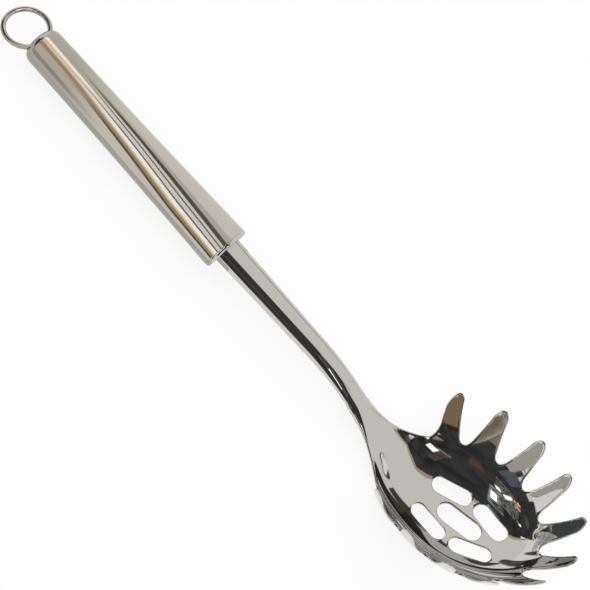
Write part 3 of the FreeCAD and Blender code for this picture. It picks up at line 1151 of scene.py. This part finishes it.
def wrap_round_x(mesh: bpy.types.Mesh, length: float) -> None:
    """Give a turned mesh a UV map that runs along its axis X and then round it.

    Args:
        mesh: The mesh.
        length: Length along the axis that fills the map.
    """
    layer = mesh.uv_layers.new(name=BRUSHED_MAP)
    for face in mesh.polygons:
        middle = math.atan2(face.center.z, face.center.y)
        for loop in face.loop_indices:
            place = mesh.vertices[mesh.loops[loop].vertex_index].co
            turn = math.atan2(place.z, place.y)
            turn += round((middle - turn) / (2 * math.pi)) * 2 * math.pi
            layer.data[loop].uv = (place.x / length, turn / (2 * math.pi) + 0.5)


class NodeDesk:
    """Node tree under work, with a short way to add nodes and feed them."""

    def __init__(self, tree: bpy.types.NodeTree) -> None:
        """Empty a tree and take it."""
        self.tree = tree
        tree.nodes.clear()

    def add(self, kind: str, inputs: Inputs | None = None, **settings: object) -> bpy.types.Node:
        """Add a node.

        Args:
            kind: Type of the node.
            inputs: For an input's name or number, its value or the output that feeds it.
            settings: Properties of the node.

        Returns:
            The node.
        """
        node = self.tree.nodes.new(kind)
        for name, value in settings.items():
            setattr(node, name, value)
        for name, value in (inputs or {}).items():
            if isinstance(value, bpy.types.NodeSocket):
                self.tree.links.new(value, node.inputs[name])
            else:
                node.inputs[name].default_value = value
        return node


def new_material(name: str) -> tuple[bpy.types.Material, NodeDesk]:
    """Make an empty node material.

    Args:
        name: Its name.

    Returns:
        The material and the desk that its nodes are laid on.
    """
    material = bpy.data.materials.new(name)
    material.use_nodes = True
    return material, NodeDesk(material.node_tree)


def solid(colour: Colour) -> tuple[float, float, float, float]:
    """Colour as a node's socket takes it, without any clearness."""
    return (*colour, 1.0)


@dataclass(frozen=True)
class SteelTone:
    """Group that clouds a steel's colour and roughness a little, as polishing and handling do."""

    name: str = "steel_tone"
    detail: float = 5.0
    roughness: float = 0.6
    low: float = 0.3
    high: float = 0.7

    def tree(self) -> bpy.types.NodeTree:
        """Build the group once.

        Returns:
            Its node tree.
        """
        if self.name in bpy.data.node_groups:
            return bpy.data.node_groups[self.name]
        tree = bpy.data.node_groups.new(self.name, "ShaderNodeTree")
        desk = NodeDesk(tree)
        inputs = {"Vector": "Vector", "Light": "Color", "Dull": "Color"}
        inputs |= {"Scale": "Float", "Smooth": "Float", "Rough": "Float"}
        outputs = {"Color": "Color", "Roughness": "Float"}
        for way, sockets in (("INPUT", inputs), ("OUTPUT", outputs)):
            for label, kind in sockets.items():
                tree.interface.new_socket(label, in_out=way, socket_type="NodeSocket" + kind)
        given = desk.add("NodeGroupInput")
        noise = {"Vector": given.outputs["Vector"], "Scale": given.outputs["Scale"]}
        noise |= {"Detail": self.detail, "Roughness": self.roughness}
        cloud = desk.add("ShaderNodeTexNoise", noise)
        blend = {"Factor": cloud.outputs["Fac"], "A": given.outputs["Light"], "B": given.outputs["Dull"]}
        tone = desk.add("ShaderNodeMix", blend, data_type="RGBA")
        reach = {"Value": cloud.outputs["Fac"], "From Min": self.low, "From Max": self.high}
        reach |= {"To Min": given.outputs["Smooth"], "To Max": given.outputs["Rough"]}
        spread = desk.add("ShaderNodeMapRange", reach)
        desk.add("NodeGroupOutput", {"Color": tone.outputs["Result"], "Roughness": spread.outputs["Result"]})
        return tree


@dataclass(frozen=True)
class SteelFinish:
    """Finish of stainless steel."""

    name: str
    slot: Slot
    light: Colour
    dull: Colour
    smooth: float
    rough: float
    cloud_scale: float
    line_scale: tuple[float, float, float]
    line_height: float
    line_detail: float = 3.0
    anisotropy: float = 0.0
    tone: SteelTone = SteelTone()

    def material(self) -> bpy.types.Material:
        """Build the finish once, as a node material on Object coordinates.

        Returns:
            The material.
        """
        if self.name in bpy.data.materials:
            return bpy.data.materials[self.name]
        material, desk = new_material(self.name)
        place = desk.add("ShaderNodeTexCoord")
        clouds = {"Vector": place.outputs["Object"], "Scale": self.cloud_scale}
        clouds |= {"Light": solid(self.light), "Dull": solid(self.dull)}
        clouds |= {"Smooth": self.smooth, "Rough": self.rough}
        tone = desk.add("ShaderNodeGroup", clouds, node_tree=self.tone.tree())
        stretch = desk.add("ShaderNodeMapping", {"Vector": place.outputs["Object"], "Scale": self.line_scale})
        noise = {"Vector": stretch.outputs["Vector"], "Scale": 1.0, "Detail": self.line_detail}
        lines = desk.add("ShaderNodeTexNoise", noise)
        grooves = {"Height": lines.outputs["Fac"], "Strength": 1.0, "Distance": self.line_height}
        bump = desk.add("ShaderNodeBump", grooves)
        looks = {"Base Color": tone.outputs["Color"], "Roughness": tone.outputs["Roughness"]}
        looks |= {"Normal": bump.outputs["Normal"], "Metallic": 1.0, "Anisotropic": self.anisotropy}
        if self.anisotropy:
            grain = desk.add("ShaderNodeTangent", direction_type="UV_MAP", uv_map=BRUSHED_MAP)
            looks["Tangent"] = grain.outputs["Tangent"]
        steel = desk.add("ShaderNodeBsdfPrincipled", looks)
        desk.add("ShaderNodeOutputMaterial", {"Surface": steel.outputs["BSDF"]})
        return material


POLISHED = SteelFinish(
    name="mirror_polished_steel",
    slot=Slot.POLISHED,
    light=(0.62, 0.61, 0.585),
    dull=(0.56, 0.55, 0.525),
    smooth=0.03,
    rough=0.075,
    cloud_scale=60.0,
    line_scale=(40.0, 40.0, 40.0),
    line_height=0.00004,
)
SATIN = SteelFinish(
    name="satin_brushed_steel",
    slot=Slot.SATIN,
    light=(0.58, 0.57, 0.55),
    dull=(0.53, 0.52, 0.50),
    smooth=0.11,
    rough=0.16,
    cloud_scale=90.0,
    line_scale=(2600.0, 90.0, 90.0),
    line_height=0.000003,
    anisotropy=0.9,
)


def stand_for(node: str, body: str, piece: bpy.types.Object, finish: SteelFinish) -> bpy.types.Object:
    """Give a piece its finish and let it stand for a node of the frame.

    Args:
        node: The node.
        body: Body that the piece moves with.
        piece: The piece, in place.
        finish: Its finish.

    Returns:
        The piece.
    """
    piece.data.materials.clear()
    piece.data.materials.append(finish.material())
    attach(piece, body)
    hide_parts(node)
    return piece


def set_stage(card: bpy.types.Object, material: bpy.types.Material) -> None:
    """Leave a card of the studio to the steel's reflections alone, and keep its shade off the table.

    Args:
        card: The card.
        material: What it sends to the steel.
    """
    card.data.materials.append(material)
    card.visible_camera = False
    card.visible_diffuse = False
    card.visible_transmission = False
    card.visible_shadow = False


@dataclass(frozen=True)
class RoomGlow:
    """Light that a part of the studio sends to the steel, plain or mottled with a second colour."""

    name: str
    colour: Colour
    patches: Colour | None = None
    patch_scale: float = 4.0
    detail: float = 4.0
    low: float = 0.42
    high: float = 0.62

    def material(self) -> bpy.types.Material:
        """Build the light as an emission on Object coordinates.

        Returns:
            The material.
        """
        material, desk = new_material(self.name)
        shine: object = solid(self.colour)
        if self.patches:
            place = desk.add("ShaderNodeTexCoord")
            noise = {"Vector": place.outputs["Object"], "Scale": self.patch_scale, "Detail": self.detail}
            cloud = desk.add("ShaderNodeTexNoise", noise)
            reach = {"Value": cloud.outputs["Fac"], "From Min": self.low, "From Max": self.high}
            spread = desk.add("ShaderNodeMapRange", reach)
            blend = {"Factor": spread.outputs["Result"], "A": shine, "B": solid(self.patches)}
            shine = desk.add("ShaderNodeMix", blend, data_type="RGBA").outputs["Result"]
        glow = desk.add("ShaderNodeEmission", {"Color": shine})
        desk.add("ShaderNodeOutputMaterial", {"Surface": glow.outputs["Emission"]})
        return material


class Facing(Enum):
    """Way that a card of the studio faces, as its tilt and its turn."""

    DOWN = (0.0, 0.0)
    TABLE = (90.0, 0.0)
    FRONT = (90.0, 90.0)


@dataclass(frozen=True)
class StudioCard:
    """Flat card of the studio, seen only in the steel's reflections."""

    name: str
    centre: tuple[float, float, float]
    size: tuple[float, float]
    colour: Colour
    facing: Facing = Facing.DOWN
    spin: float = 0.0
    patches: Colour | None = None
    patch_scale: float = 4.0

    def build(self) -> None:
        """Set up the card, its size along the room first."""
        bm = bmesh.new()
        tilt, turn = (math.radians(angle) for angle in self.facing.value)
        stand = Matrix.Rotation(turn, 4, "Z") @ Matrix.Rotation(tilt, 4, "X")
        spread = Matrix.Diagonal((self.size[0] / 2, self.size[1] / 2, 1.0, 1.0))
        own = Matrix.Rotation(math.radians(self.spin), 4, "Z")
        place = Matrix.Translation(self.centre) @ stand @ own @ spread
        bmesh.ops.create_grid(bm, x_segments=1, y_segments=1, size=1.0, matrix=place)
        glow = RoomGlow(self.name, self.colour, self.patches, self.patch_scale)
        set_stage(to_object(bm, self.name), glow.material())


@dataclass(frozen=True)
class TentPanel:
    """Level sheet of the white tent on the far side, with a batten along its near edge."""

    name: str
    height: float
    far_edge: float
    near_edge: tuple[tuple[float, float], ...]
    batten_widths: tuple[float, ...]
    paper: Colour = (0.860, 0.850, 0.825)
    batten: Colour = (0.500, 0.410, 0.300)

    def lay(self, name: str, depths: Sequence[float], colour: Colour) -> None:
        """Lay one level sheet along the near edge.

        Args:
            name: Name of the sheet.
            depths: How far it reaches across from each corner of the near edge.
            colour: What it sends to the steel.
        """
        bm = bmesh.new()
        edges = []
        for share in (0.0, 1.0):
            rows = zip(self.near_edge, depths)
            chain = [bm.verts.new((x, y + share * depth, self.height)) for (x, y), depth in rows]
            edges += [bm.edges.new(pair) for pair in zip(chain[:-1], chain[1:])]
        bmesh.ops.bridge_loops(bm, edges=edges)
        set_stage(to_object(bm, name), RoomGlow(name, colour).material())

    def build(self) -> None:
        """Set up the sheet and its batten."""
        self.lay(self.name, [self.far_edge - y for _, y in self.near_edge], self.paper)
        self.lay(self.name + "_batten", [-width for width in self.batten_widths], self.batten)


FAR_TENT = TentPanel(
    name="far_tent",
    height=0.2,
    far_edge=2.5,
    near_edge=(
        (-1.60, 0.120), (-0.50, 0.112), (-0.12, 0.096), (0.00, 0.074), (0.035, 0.052),
        (0.065, 0.080), (0.10, 0.100), (0.15, 0.103), (0.20, 0.096), (0.70, 0.092),
    ),
    batten_widths=(0.030, 0.028, 0.020, 0.014, 0.012, 0.012, 0.014, 0.008, 0.012, 0.006),
)
BACK_TENT = TentPanel(
    name="back_tent",
    height=0.199,
    far_edge=2.5,
    near_edge=(
        (-0.80, 1.80), (-0.50, 1.30), (-0.25, 0.95), (-0.15, 0.72), (-0.05, 0.48), (0.03, 0.345),
        (0.06, 0.338), (0.10, 0.335), (0.20, 0.335), (0.25, 0.345),
    ),
    batten_widths=(0.80, 0.50, 0.35, 0.22, 0.08, 0.065, 0.092, 0.125, 0.108, 0.020),
    paper=(0.560, 0.560, 0.545),
    batten=(0.070, 0.068, 0.066),
)
STEM_TENT = TentPanel(
    name="stem_tent",
    height=0.031,
    far_edge=0.035,
    near_edge=((-0.0295, -0.0047), (0.040, -0.0030), (0.061, 0.0058), (0.070, 0.0120)),
    batten_widths=(0.0008, 0.0008, 0.0008, 0.0008),
)


@dataclass(frozen=True)
class StripReflector:
    """Curved reflector along the handle, with strips of light and dark that run across it at a slant."""

    length: float = 126.0
    rear_reach: float = 16.0
    radius: float = 24.0
    edge_angle: float = -118.0
    first_angle: float = -50.0
    last_angle: float = 128.0
    strips_from: tuple[float, ...] = (-34.0, -22.0, -9.0, 9.0, 28.0)
    strips_to: tuple[float, ...] = (47.0, 55.0, 77.0, 103.0, 107.0)
    strip_share: tuple[float, float, float] = (0.04, 0.2, 0.9)
    turn_over: tuple[float, float] = (0.2, 0.5)
    columns: int = 40
    rows: int = 90
    uv_map: str = "over"
    paper: Colour = (0.930, 0.890, 0.800)
    paper_rear: Colour = (0.700, 0.675, 0.625)
    dark: Colour = (0.130, 0.115, 0.090)
    lamp: Colour = (1.450, 1.440, 1.370)
    cloth: Colour = (1.020, 1.005, 0.930)
    wood_light: Colour = (1.100, 0.890, 0.620)
    wood: Colour = (0.530, 0.385, 0.240)
    shade: Colour = (0.700, 0.655, 0.575)
    shade_dark: Colour = (0.440, 0.420, 0.350)

    def strips(self) -> list[tuple[float, Colour, Colour]]:
        """List the strips over the reflector.

        Returns:
            Share at which each strip starts, its colour over the rear end and its colour over the rest.
        """
        return [
            (0.000, self.paper_rear, self.paper),
            (0.144, self.paper_rear, self.shade),
            (0.184, self.shade, self.dark),
            (0.275, self.shade, self.cloth),
            (0.345, self.shade, self.dark),
            (0.385, self.lamp, self.cloth),
            (0.500, self.wood_light, self.dark),
            (0.540, self.wood_light, self.lamp),
            (0.645, self.wood, self.wood_light),
            (0.700, self.wood, self.wood),
            (0.790, self.shade, self.dark),
            (0.870, self.shade, self.paper),
            (0.928, self.shade_dark, self.paper),
            (0.956, self.paper_rear, self.paper),
        ]

    def angle(self, along: float, over: float) -> float:
        """Angle about the handle, from straight up towards the camera's side.

        Args:
            along: Share of the way along the handle.
            over: Share of the way over the reflector.

        Returns:
            The angle in degrees.
        """
        places = np.linspace(0.0, 1.0, len(self.strips_from))
        start = float(np.interp(along, places, self.strips_from))
        end = float(np.interp(along, places, self.strips_to))
        shares = (0.0, *self.strip_share, 1.0)
        angles = (self.edge_angle, self.first_angle, start, end, self.last_angle)
        return float(np.interp(over, shares, angles))

    def ramp(self, desk: NodeDesk, over: bpy.types.NodeSocket, column: int) -> bpy.types.NodeSocket:
        """Lay the strips as a colour ramp.

        Args:
            desk: Desk of the material.
            over: Share of the way over the reflector.
            column: Which of a strip's values is its colour.

        Returns:
            The colour.
        """
        node = desk.add("ShaderNodeValToRGB", {"Fac": over})
        node.color_ramp.interpolation = "CONSTANT"
        stops = node.color_ramp.elements
        strips = self.strips()
        while len(stops) < len(strips):
            stops.new(0.5)
        for stop, strip in zip(stops, strips):
            stop.position = strip[0]
            stop.color = solid(strip[column])
        return node.outputs["Color"]

    def material(self) -> bpy.types.Material:
        """Build strips of light that are clear from outside.

        Returns:
            The material.
        """
        material, desk = new_material("strip_reflector")
        place = desk.add("ShaderNodeUVMap", uv_map=self.uv_map)
        split = desk.add("ShaderNodeSeparateXYZ", {"Vector": place.outputs["UV"]})
        rear, front = self.turn_over
        reach = {"Value": split.outputs["X"], "From Min": rear, "From Max": front}
        share = desk.add("ShaderNodeMapRange", reach, interpolation_type="SMOOTHSTEP")
        rear_strips, front_strips = (self.ramp(desk, split.outputs["Y"], column) for column in (1, 2))
        blend = {"Factor": share.outputs["Result"], "A": rear_strips, "B": front_strips}
        tone = desk.add("ShaderNodeMix", blend, data_type="RGBA")
        glow = desk.add("ShaderNodeEmission", {"Color": tone.outputs["Result"]})
        clear = desk.add("ShaderNodeBsdfTransparent")
        side = desk.add("ShaderNodeNewGeometry")
        faces = {"Fac": side.outputs["Backfacing"], 1: glow.outputs["Emission"], 2: clear.outputs["BSDF"]}
        mix = desk.add("ShaderNodeMixShader", faces)
        desk.add("ShaderNodeOutputMaterial", {"Surface": mix.outputs["Shader"]})
        return material

    def build(self) -> None:
        """Set up the reflector, which shines only on its hollow side."""
        bm = bmesh.new()
        bm.loops.layers.uv.new(self.uv_map)
        bmesh.ops.create_grid(
            bm, x_segments=self.columns, y_segments=self.rows, size=0.5, calc_uvs=True,
            matrix=Matrix.Translation((0.5, 0.5, 0.0))
        )
        for vert in bm.verts:
            x = lerp(-self.rear_reach, self.length, vert.co.x)
            turn = math.radians(self.angle(x / self.length, vert.co.y))
            vert.co = (x, -math.sin(turn) * self.radius, math.cos(turn) * self.radius)
        set_stage(to_object(bm, "strip_reflector", LAY.handle()), self.material())


DARK = (0.058, 0.059, 0.061)
NEAR_BLACK = (0.026, 0.027, 0.030)
SLATE = (0.120, 0.145, 0.170)
STEEL_GREY = (0.110, 0.135, 0.142)
NIGHT = (0.036, 0.039, 0.043)
BROWN = (0.115, 0.105, 0.082)
RUST = (0.130, 0.080, 0.066)
TAN = (0.460, 0.350, 0.240)
TAUPE = (0.300, 0.245, 0.185)
LAMP = (1.800, 1.800, 1.760)
GLARE = (3.000, 3.100, 3.200)
WINDOW = (0.380, 0.430, 0.450)
HAZE = (0.240, 0.238, 0.232)
PAPER = (0.900, 0.880, 0.840)
SHADE = (0.330, 0.330, 0.320)
PALE = (0.560, 0.560, 0.545)
DUSK = (0.610, 0.595, 0.565)
AMBER = (1.500, 1.150, 0.750)
WARM = (1.050, 0.620, 0.300)

CEILING = 0.6
HALF_HEIGHT = CEILING / 2
HUNG = CEILING - 0.02
NEAR_WALL = -0.9
ON_WALL = NEAR_WALL + 0.01
REAR_WALL = -1.3
ON_TABLE = 0.001
FLOOR_CARD = 0.002
LOW_CARD = 0.045

# Dark room on the near side.
ROOM = (
    StudioCard("ceiling", (-0.465, -0.35, CEILING), (2.27, 1.9), DARK, patches=NEAR_BLACK),
    StudioCard(
        "near_wall", (-0.35, NEAR_WALL, HALF_HEIGHT), (2.5, CEILING), NIGHT, Facing.TABLE, patches=DARK
    ),
    StudioCard(
        "rear_wall", (REAR_WALL, -0.38, HALF_HEIGHT), (1.0, CEILING), DARK, Facing.FRONT, patches=NIGHT
    ),
    StudioCard("panel", (-0.32, ON_WALL, 0.27), (0.34, 0.30), SLATE, Facing.TABLE, patches=NIGHT),
    StudioCard("skirting_front", (0.85, ON_WALL, 0.05), (1.6, 0.12), TAUPE, Facing.TABLE),
    StudioCard("skirting_rear", (-0.60, ON_WALL, 0.06), (0.60, 0.14), PAPER, Facing.TABLE),
    StudioCard("dark_corner", (0.45, -0.05, CEILING - 0.01), (0.42, 0.35), NEAR_BLACK, patches=DARK),
    StudioCard("beam", (0.20, -0.19, CEILING - 0.012), (0.12, 0.34), BROWN, patches=DARK, patch_scale=8.0),
    StudioCard("beam_edge", (0.04, -0.70, CEILING - 0.013), (0.14, 0.36), RUST, spin=17.0, patches=DARK),
)
# Shades on the table and cloths close over the bowl.
SHADES = (
    StudioCard("floor_shade", (0.01, 0.018, ON_TABLE), (0.36, 0.040), SHADE, patches=PALE, patch_scale=40.0),
    # Painted shadow of the handle on the table, seen only in the steel.
    StudioCard("floor_handle", (-0.1325, 0.02, ON_TABLE), (0.225, 0.16), DUSK),
    StudioCard("floor_rear", (-0.45, -0.055, FLOOR_CARD), (0.28, 0.19), DARK),
    StudioCard("floor_behind", (-1.27, -0.25, FLOOR_CARD), (1.40, 0.58), DARK, patches=BROWN),
    StudioCard("boards_front", (0.90, -0.62, FLOOR_CARD), (1.5, 0.56), TAUPE),
    StudioCard("boards_middle", (0.03, -0.47, FLOOR_CARD), (0.14, 0.34), TAUPE),
    StudioCard("tan_cloth", (0.138, -0.017, LOW_CARD), (0.016, 0.011), TAN),
    StudioCard("grey_cloth", (0.068, -0.008, LOW_CARD), (0.026, 0.012), STEEL_GREY),
)
# Lamps and glows under the ceiling.
LIGHTS = (
    StudioCard("lamp_front", (0.334, -0.235, HUNG), (0.160, 0.132), LAMP),
    StudioCard("shelf_front", (0.22, -0.335, HUNG), (0.17, 0.05), TAUPE),
    StudioCard(
        "haze", (-0.66, -0.54, CEILING - 0.005), (0.80, 0.72), HAZE, patches=NEAR_BLACK, patch_scale=16.0
    ),
    StudioCard("lamp_rear", (-0.57, -0.57, HUNG), (0.36, 0.085), LAMP, spin=43.0),
    StudioCard("lamp_side", (-0.31, -0.49, HUNG), (0.10, 0.08), LAMP, spin=20.0),
    StudioCard(
        "lamp_warm", (-1.22, -0.90, HUNG), (0.36, 0.075), AMBER, spin=15.0, patches=LAMP, patch_scale=9.0
    ),
    StudioCard(
        "glow_warm", (-0.98, -0.70, HUNG), (0.46, 0.26), WARM, spin=20.0, patches=NEAR_BLACK, patch_scale=15.0
    ),
    StudioCard("glint_rear", (-1.20, -0.19, HUNG), (0.28, 0.055), LAMP),
    StudioCard(
        "window", (-0.30, -0.21, CEILING - 0.015), (0.22, 0.40), WINDOW, patches=DARK, patch_scale=11.0
    ),
    StudioCard("glare", (-0.25, -0.20, HUNG), (0.075, 0.15), GLARE),
)


@dataclass(frozen=True)
class Studio:
    """White table under soft light, with the dark side of the room behind the camera."""

    lens: float = 79.1
    shift: tuple[float, float] = (-0.0037, -0.0034)
    eye: tuple[float, float, float] = (-0.0350, -0.3271, 0.5021)
    right: tuple[float, float, float] = (0.6554, 0.5915, 0.4695)
    down: tuple[float, float, float] = (0.7518, -0.5704, -0.3309)
    near_clip: float = 0.01
    floor_size: float = 6.0
    floor_white: Colour = (0.98, 0.98, 0.98)
    shadow_share: float = 0.18
    around: Colour = (1.0, 1.0, 1.0)
    furniture: tuple[StudioCard | TentPanel | StripReflector, ...] = (
        *ROOM, *SHADES, *LIGHTS, FAR_TENT, BACK_TENT, STEM_TENT, StripReflector()
    )

    def camera(self) -> None:
        """Set the camera where the photograph was taken from."""
        data = bpy.data.cameras.new("photo_camera")
        data.lens = self.lens
        data.shift_x, data.shift_y = self.shift
        data.clip_start = self.near_clip
        camera = bpy.data.objects.new("photo_camera", data)
        x_axis = Vector(self.right).normalized()
        y_axis = -Vector(self.down)
        y_axis = (y_axis - x_axis * y_axis.dot(x_axis)).normalized()
        turn = Matrix((x_axis, y_axis, x_axis.cross(y_axis))).transposed()
        camera.matrix_world = Matrix.Translation(self.eye) @ turn.to_4x4()
        bpy.context.scene.collection.objects.link(camera)
        bpy.context.scene.camera = camera

    @staticmethod
    def seen_directly(desk: NodeDesk) -> bpy.types.NodeSocket:
        """Tell rays from the camera, and those that steel and glass pass on, from all others.

        Args:
            desk: Desk of the material.

        Returns:
            A value that is 1 for such a ray.
        """
        path = desk.add("ShaderNodeLightPath")
        either = {0: path.outputs["Is Camera Ray"], 1: path.outputs["Is Glossy Ray"]}
        seen = desk.add("ShaderNodeMath", either, operation="MAXIMUM")
        either = {0: seen.outputs["Value"], 1: path.outputs["Is Transmission Ray"]}
        return desk.add("ShaderNodeMath", either, operation="MAXIMUM").outputs["Value"]

    def floor(self) -> None:
        """Lay the white table, which keeps a faint shadow."""
        bm = bmesh.new()
        bmesh.ops.create_grid(bm, x_segments=1, y_segments=1, size=self.floor_size / 2)
        floor = to_object(bm, "table")
        material, desk = new_material("table_white")
        paper = desk.add("ShaderNodeBsdfDiffuse", {"Color": solid(self.floor_white)})
        white = desk.add("ShaderNodeEmission")
        product = {0: self.seen_directly(desk), 1: 1.0 - self.shadow_share}
        share = desk.add("ShaderNodeMath", product, operation="MULTIPLY")
        both = {"Fac": share.outputs["Value"], 1: paper.outputs["BSDF"], 2: white.outputs["Emission"]}
        mix = desk.add("ShaderNodeMixShader", both)
        desk.add("ShaderNodeOutputMaterial", {"Surface": mix.outputs["Shader"]})
        floor.data.materials.append(material)

    def world(self) -> None:
        """Surround the table with white."""
        world = bpy.data.worlds.new("white_tent")
        bpy.context.scene.world = world
        world.use_nodes = True
        desk = NodeDesk(world.node_tree)
        tent = desk.add("ShaderNodeBackground", {"Color": solid(self.around), "Strength": 1.0})
        desk.add("ShaderNodeOutputWorld", {"Surface": tent.outputs["Background"]})

    def build(self) -> None:
        """Set up table, surroundings, furniture and camera."""
        bpy.context.scene.view_settings.view_transform = "Standard"
        self.floor()
        self.world()
        for item in self.furniture:
            item.build()
        self.camera()


def main() -> None:
    """Build every piece in order, then the studio."""
    logging.basicConfig(level=logging.INFO, format="%(name)s: %(message)s")
    bowl = SheetBowl()
    ring = HangingRing()
    for part in (bowl, OvalStem(bowl), HollowHandle(ring), ring):
        for piece in part.dress():
            LOG.info("%s: %d faces", piece.name, len(piece.data.polygons))
    Studio().build()


if __name__ == "__main__":
    main()
